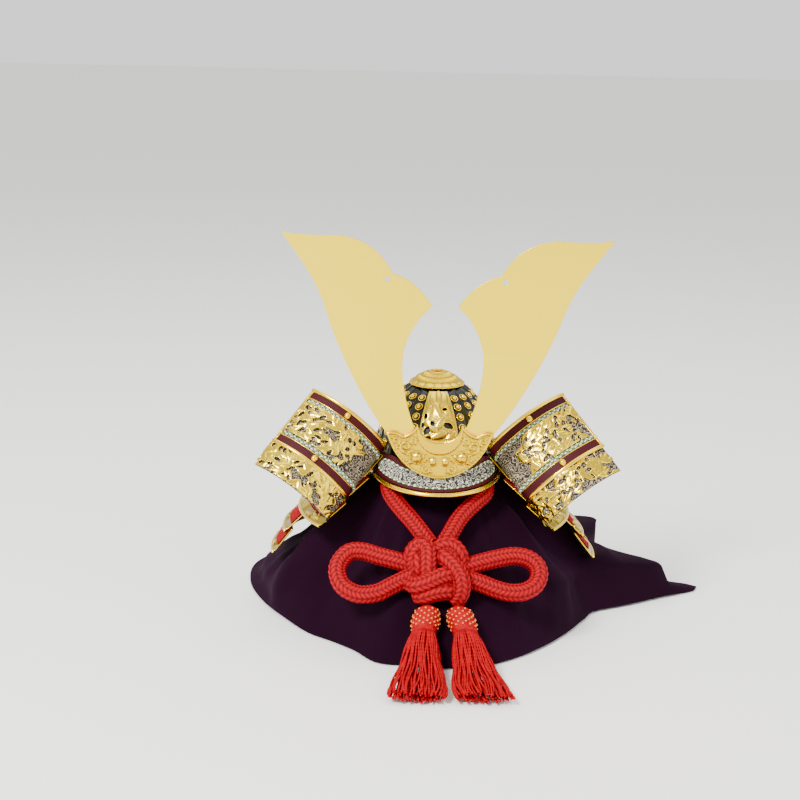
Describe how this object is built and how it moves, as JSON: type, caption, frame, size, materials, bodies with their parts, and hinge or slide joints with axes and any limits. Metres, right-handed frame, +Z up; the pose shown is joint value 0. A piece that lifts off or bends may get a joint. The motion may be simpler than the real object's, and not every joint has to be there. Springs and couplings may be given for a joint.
{
  "type": "kabuto samurai helmet on a cloth-draped stand",
  "caption": "Display samurai helmet with tall gold horns, flared neck guard, printed leather visor and red silk cords, on a stand draped with plum cloth.",
  "frame": {"origin": "middle of the underside of the stand's foot, on the surface that it stands on", "axes": "+Z up, +X to the right seen from the front, -Y the way the helmet looks"},
  "size_m": [0.3616, 0.368, 0.3005],
  "materials": {
    "black_lacquer": "gloss lacquer",
    "gold": "polished gilt with relief",
    "pale_gold": "satin gilt",
    "warm_gold": "engraved gilt",
    "printed_leather": "printed, matte",
    "red_silk": "braided silk",
    "plum_cloth": "matte fine weave",
    "wood": "oiled"
  },
  "bodies": {
    "root": {"bowl": "black_lacquer", "crown_ring": "gold", "front_plate": "gold", "rim_band": "gold", "visor": "printed_leather", "visor_rim": "gold", "crest_plate": "warm_gold", "horn_right": "pale_gold", "horn_left": "pale_gold", "lame_1": "gold", "lame_2": "gold", "lame_3": "gold", "lame_4": "gold", "lame_5": "gold", "lacing_1": "red_silk", "lacing_2": "red_silk", "lacing_3": "red_silk", "lacing_4": "red_silk", "turnback_left": "printed_leather", "turnback_right": "printed_leather", "leaf_plate_left": "gold", "leaf_plate_right": "gold", "turnback_low_left": "gold", "turnback_low_right": "gold", "stand": "wood", "cloth": "plum_cloth", "chin_cord": "red_silk", "bow_left": "red_silk", "bow_right": "red_silk", "knot": "red_silk", "tassel_left": "red_silk", "tassel_right": "red_silk"}
  },
  "joints": []
}
